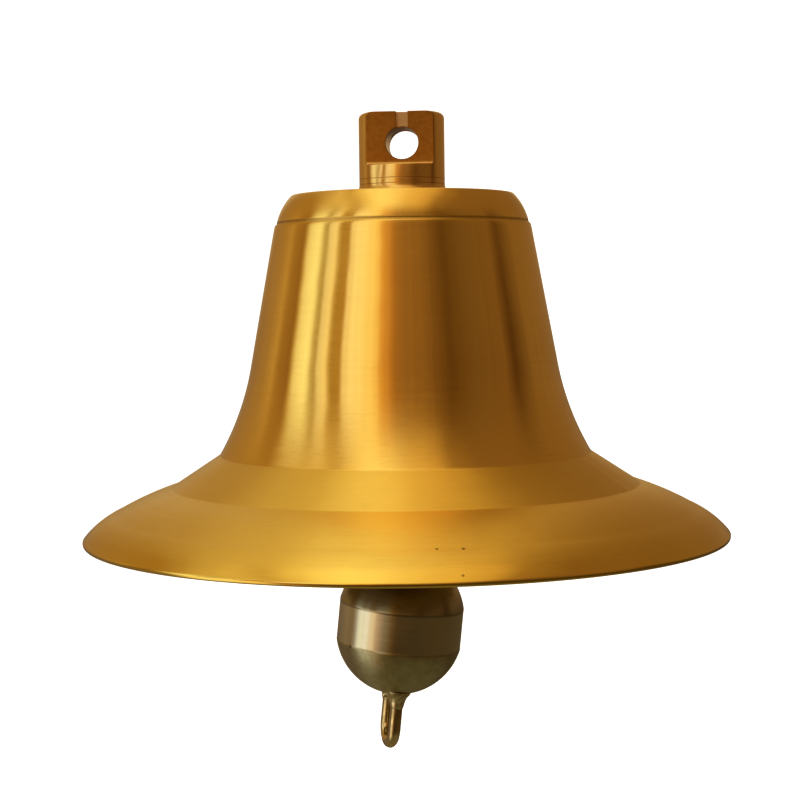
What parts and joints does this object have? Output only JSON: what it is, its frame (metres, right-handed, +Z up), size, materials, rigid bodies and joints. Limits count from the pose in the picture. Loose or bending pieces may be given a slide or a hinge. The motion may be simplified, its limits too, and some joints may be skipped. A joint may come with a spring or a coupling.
{
  "type": "ship bell",
  "caption": "Turned brass ship bell with a wide flared mouth, a drilled crown lug to hang it by, and a pin-hinged clapper with a ball and rope eye.",
  "frame": {"origin": "centre of the hanging hole in the crown lug", "axes": "+Z up, parallel to the bell's own axis, which stands 1 mm to -X of the hole; +Y along the hanging hole, towards the back; the grooved flat of the lug faces -Y; the clapper swings in the XZ plane"},
  "size_m": [0.3, 0.3, 0.2982],
  "materials": {
    "bell_brass": "fine turned, satin",
    "lug_brass": "turned stem with rough-milled flats",
    "fitting_brass": "machined, dull",
    "clapper_bronze": "turned bronze, dulled",
    "ball_bronze": "cast bronze, dull olive brown with a polished turned belt",
    "eye_bronze": "drawn bar, smooth and dulled",
    "braze_metal": "rough braze",
    "split_pin_steel": "drawn wire"
  },
  "bodies": {
    "bell": {"bell_body": "bell_brass", "crown_lug": "lug_brass", "head_washer": "fitting_brass", "crown_nut": "fitting_brass", "lock_nut": "fitting_brass", "clapper_hanger": "fitting_brass", "hanger_pin": "clapper_bronze", "pin_washer": "clapper_bronze", "split_pin": "split_pin_steel"},
    "clapper": {"clapper_rod": "clapper_bronze", "ball_lock_nut": "clapper_bronze", "clapper_ball": "ball_bronze", "rope_eye": "eye_bronze", "eye_braze": "braze_metal"}
  },
  "joints": [
    {"name": "clapper_swing", "type": "hinge", "parent": "bell", "child": "clapper", "pos_m": [-0.001, 0, -0.065], "axis": [0, -1, 0], "range_deg": [-35.3, 37.7]}
  ]
}
